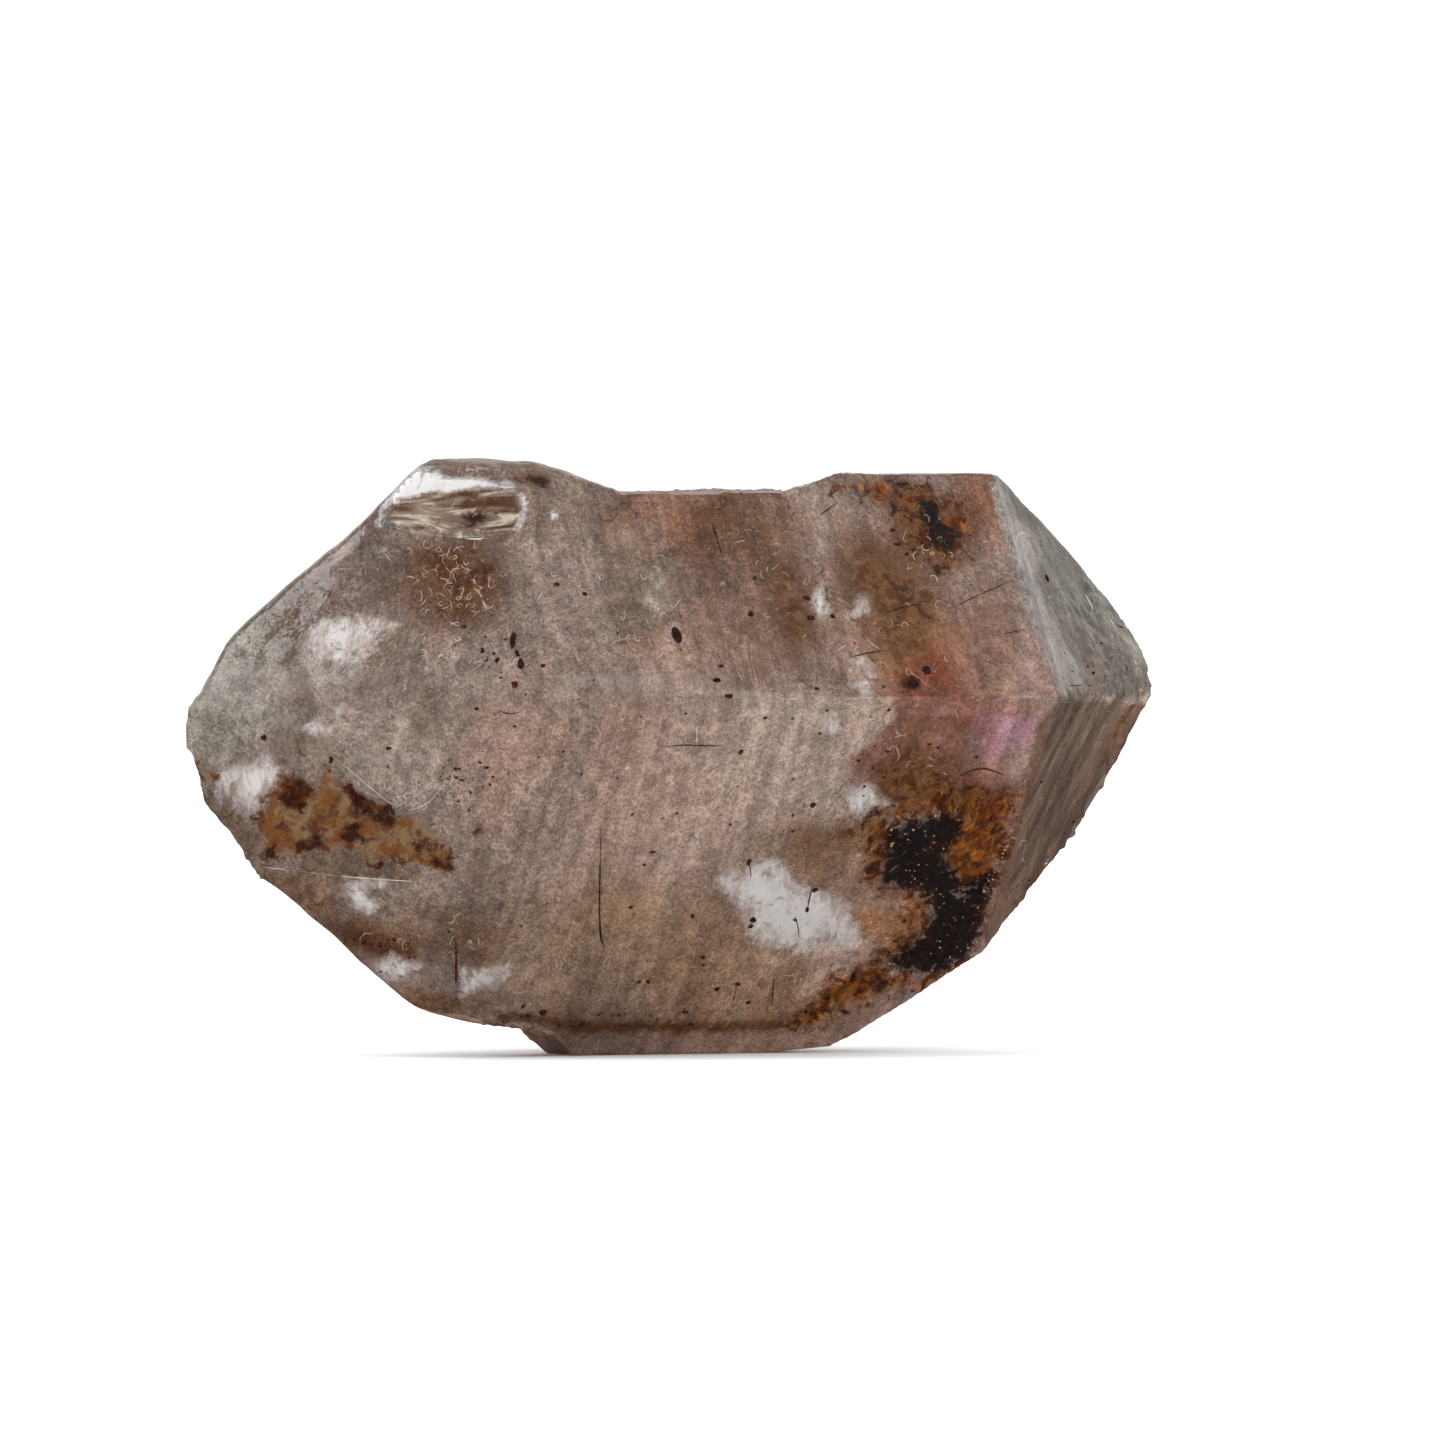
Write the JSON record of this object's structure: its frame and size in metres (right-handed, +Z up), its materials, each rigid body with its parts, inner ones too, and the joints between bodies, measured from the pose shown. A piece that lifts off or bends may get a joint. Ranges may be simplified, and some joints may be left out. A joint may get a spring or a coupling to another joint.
{
  "type": "smoky amethyst point",
  "caption": "Quartz crystal pointed at both ends, smoky mauve-brown and see-through, with iron-stained inclusions, lying on a prism face.",
  "frame": {"origin": "middle of the bounding box, at the height of the prism face that the crystal rests on", "axes": "+X runs along the crystal's long axis towards its sharp point, +Z is up"},
  "size_m": [0.0542, 0.0306, 0.0297],
  "materials": {
    "smoky_amethyst": "glassy natural crystal faces, etched and frosted in places, smoky mauve-brown with iron staining inside"
  },
  "bodies": {
    "root": {"crystal": "smoky_amethyst"}
  },
  "joints": []
}
